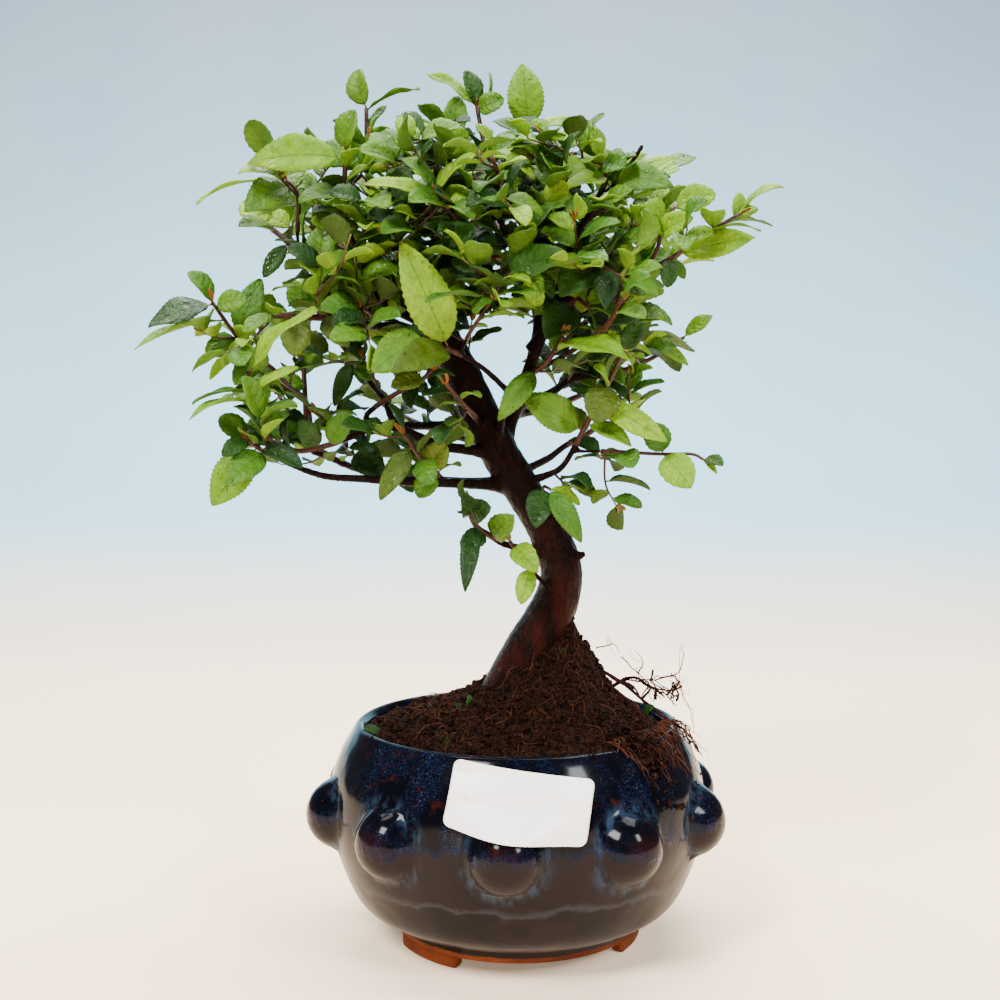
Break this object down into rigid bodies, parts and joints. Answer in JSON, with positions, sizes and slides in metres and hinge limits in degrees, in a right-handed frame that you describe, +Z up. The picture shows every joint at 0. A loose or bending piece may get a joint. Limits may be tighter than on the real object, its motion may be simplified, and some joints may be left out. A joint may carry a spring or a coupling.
{
  "type": "potted bonsai tree",
  "caption": "Small indoor bonsai tree with a curved trunk and leafy spreading crown, growing in a round dark-glazed pot with raised bosses.",
  "frame": {"origin": "on the ground, under the middle of the tree and pot's overall box", "axes": "+Z up along the height, +X to the right of the front view, -Y towards the viewer; the pot's axis stands 22 mm to the right of the origin"},
  "size_m": [0.2228, 0.1596, 0.3291],
  "materials": {
    "glaze": "gloss",
    "soil": "matte",
    "bark": "satin",
    "label": "satin",
    "leaf": "gloss"
  },
  "bodies": {
    "root": {"blank_label": "label", "pot": "glaze", "soil": "soil", "spray_back_far_left": "leaf", "spray_back_low_left": "leaf", "spray_back_low_right": "leaf", "spray_back_mid": "leaf", "spray_back_mid_left": "leaf", "spray_back_right": "leaf", "spray_back_top": "leaf", "spray_back_top_left": "leaf", "spray_back_top_right": "leaf", "spray_crown_back_mid": "leaf", "spray_crown_front": "leaf", "spray_crown_left_up": "leaf", "spray_crown_mid": "leaf", "spray_crown_spike": "leaf", "spray_front_green": "leaf", "spray_front_low": "leaf", "spray_front_red": "leaf", "spray_front_red_right": "leaf", "spray_front_right": "leaf", "spray_front_top": "leaf", "spray_leader": "leaf", "spray_left_back": "leaf", "spray_left_crown": "leaf", "spray_left_curl": "leaf", "spray_left_fork": "leaf", "spray_left_hang": "leaf", "spray_left_inner": "leaf", "spray_left_low": "leaf", "spray_left_mid": "leaf", "spray_left_mid_leaf": "leaf", "spray_left_reach": "leaf", "spray_left_rise": "leaf", "spray_left_top_back": "leaf", "spray_left_top_stub": "leaf", "spray_left_top_twig": "leaf", "spray_low_left": "leaf", "spray_low_left_twig": "leaf", "spray_right_crown": "leaf", "spray_right_far_back": "leaf", "spray_right_low": "leaf", "spray_right_low_back": "leaf", "spray_right_mid": "leaf", "spray_right_mid_back": "leaf", "spray_right_mid_low": "leaf", "spray_right_reach": "leaf", "spray_right_reach_up": "leaf", "spray_right_thread": "leaf", "spray_right_top_back": "leaf", "spray_trunk_long_leaf": "leaf", "trunk": "bark"}
  },
  "joints": []
}
